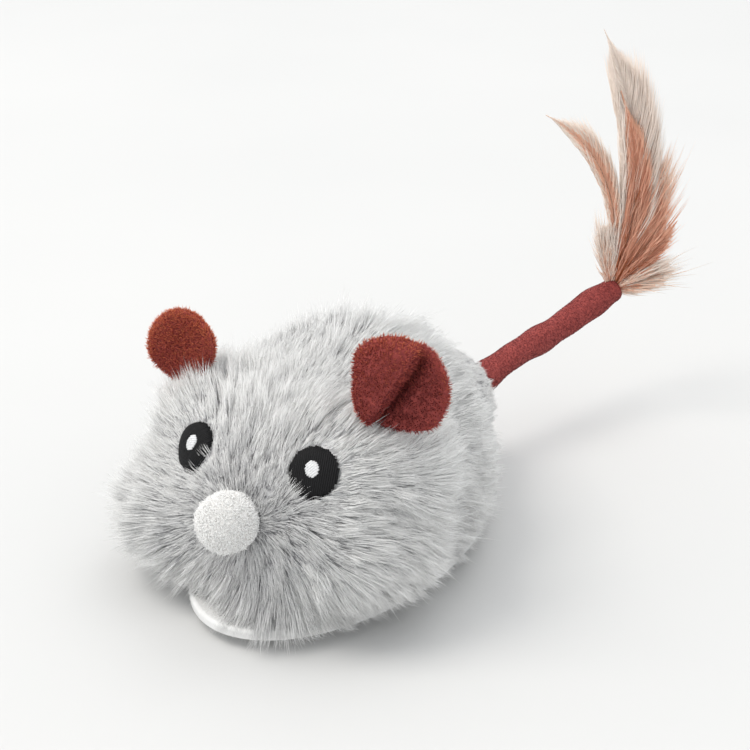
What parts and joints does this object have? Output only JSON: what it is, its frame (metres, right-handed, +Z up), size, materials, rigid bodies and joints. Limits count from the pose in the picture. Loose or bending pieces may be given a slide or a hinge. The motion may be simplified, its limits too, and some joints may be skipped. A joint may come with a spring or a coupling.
{
  "type": "clockwork mouse",
  "caption": "Plush toy mouse with a spring motor, drive wheels on an oval plastic tray, a winding key, a sewn fur cover, floppy ears and a feather-tipped tail.",
  "frame": {"origin": "on the floor on the mid-plane, 4 mm behind the middle of the oval base tray and 13 mm in front of the drive axle", "axes": "+Z up, -Y towards the nose, +X towards the mouse's left side; every axle lies along X"},
  "size_m": [0.0772, 0.1576, 0.0956],
  "materials": {
    "white_plastic": "satin",
    "wheel_plastic": "satin",
    "rubber": "matte",
    "steel": "satin",
    "spring_steel": "satin",
    "brass": "satin",
    "key_plastic": "gloss",
    "fur": "matte",
    "stuffing": "matte",
    "red_plush": "matte",
    "pompom": "matte",
    "black_thread": "satin",
    "white_thread": "satin",
    "feather": "satin"
  },
  "bodies": {
    "root": {"base_tray": "white_plastic", "motor_hood": "white_plastic", "wadding": "stuffing", "fur_cover": "fur", "case_screws": "steel", "motor_screws": "steel", "roller_pin": "steel", "motor_plate_left": "steel", "motor_plate_right": "steel", "axle_bush_left": "brass", "axle_bush_right": "brass", "motor_pillars": "brass", "mainspring": "spring_steel", "nose_pompom": "pompom", "eye_left": "black_thread", "eye_right": "black_thread", "eye_glint_left": "white_thread", "eye_glint_right": "white_thread", "ear_left": "red_plush", "ear_right": "red_plush"},
    "drive_axle": {"drive_axle": "steel", "wheel_spacers": "white_plastic", "wheel_left": "wheel_plastic", "wheel_right": "wheel_plastic", "tyre_left": "rubber", "tyre_right": "rubber", "axle_pinion": "steel"},
    "second_arbor": {"second_shaft": "steel", "second_pinion": "steel", "second_wheel": "brass"},
    "great_wheel": {"great_wheel": "brass", "click_pin": "steel", "click_spring": "spring_steel"},
    "winding_arbor": {"winding_arbor": "steel", "winding_key": "key_plastic", "ratchet_wheel": "steel"},
    "click": {"click": "steel"},
    "front_roller": {"front_roller": "wheel_plastic"},
    "tail_cuff": {"tail_cuff": "red_plush"},
    "tail": {"tail_sleeve": "red_plush", "tail_core": "stuffing", "feather_plug": "feather", "feather_long": "feather", "feather_inner": "feather", "feather_side": "feather", "down_feather_upper": "feather", "down_feather_lower": "feather"}
  },
  "joints": [
    {"name": "drive_axle_spin", "type": "hinge", "parent": "root", "child": "drive_axle", "pos_m": [0, 0.013, 0.009], "axis": [1, 0, 0], "continuous": true},
    {"name": "second_arbor_spin", "type": "hinge", "parent": "root", "child": "second_arbor", "pos_m": [0, 0.01, 0.02062], "axis": [1, 0, 0], "continuous": true},
    {"name": "great_wheel_spin", "type": "hinge", "parent": "root", "child": "great_wheel", "pos_m": [0, -0.0025, 0.02572], "axis": [1, 0, 0], "continuous": true},
    {"name": "key_wind", "type": "hinge", "parent": "great_wheel", "child": "winding_arbor", "pos_m": [0, -0.0025, 0.02572], "axis": [1, 0, 0], "range_deg": [0, 1800], "deforming": ["mainspring"]},
    {"name": "click_lift", "type": "hinge", "parent": "great_wheel", "child": "click", "pos_m": [0, -0.0025, 0.03372], "axis": [1, 0, 0], "range_deg": [0, 8], "stiffness_Nm_per_rad": 0.0002},
    {"name": "front_roller_spin", "type": "hinge", "parent": "root", "child": "front_roller", "pos_m": [0, -0.0245, 0.005], "axis": [1, 0, 0], "continuous": true},
    {"name": "tail_swing", "type": "hinge", "parent": "root", "child": "tail_cuff", "pos_m": [0.003, 0.0486, 0.02], "axis": [0, 0, 1], "range_deg": [-25, 25], "stiffness_Nm_per_rad": 0.02},
    {"name": "tail_lift", "type": "hinge", "parent": "tail_cuff", "child": "tail", "pos_m": [0.003, 0.0486, 0.02], "axis": [1, 0, 0], "range_deg": [-12, 20], "stiffness_Nm_per_rad": 0.02}
  ],
  "couplings": [
    {"joint": "second_arbor_spin", "follows": "drive_axle_spin", "ratio": -0.33333},
    {"joint": "great_wheel_spin", "follows": "drive_axle_spin", "ratio": 0.095238}
  ]
}
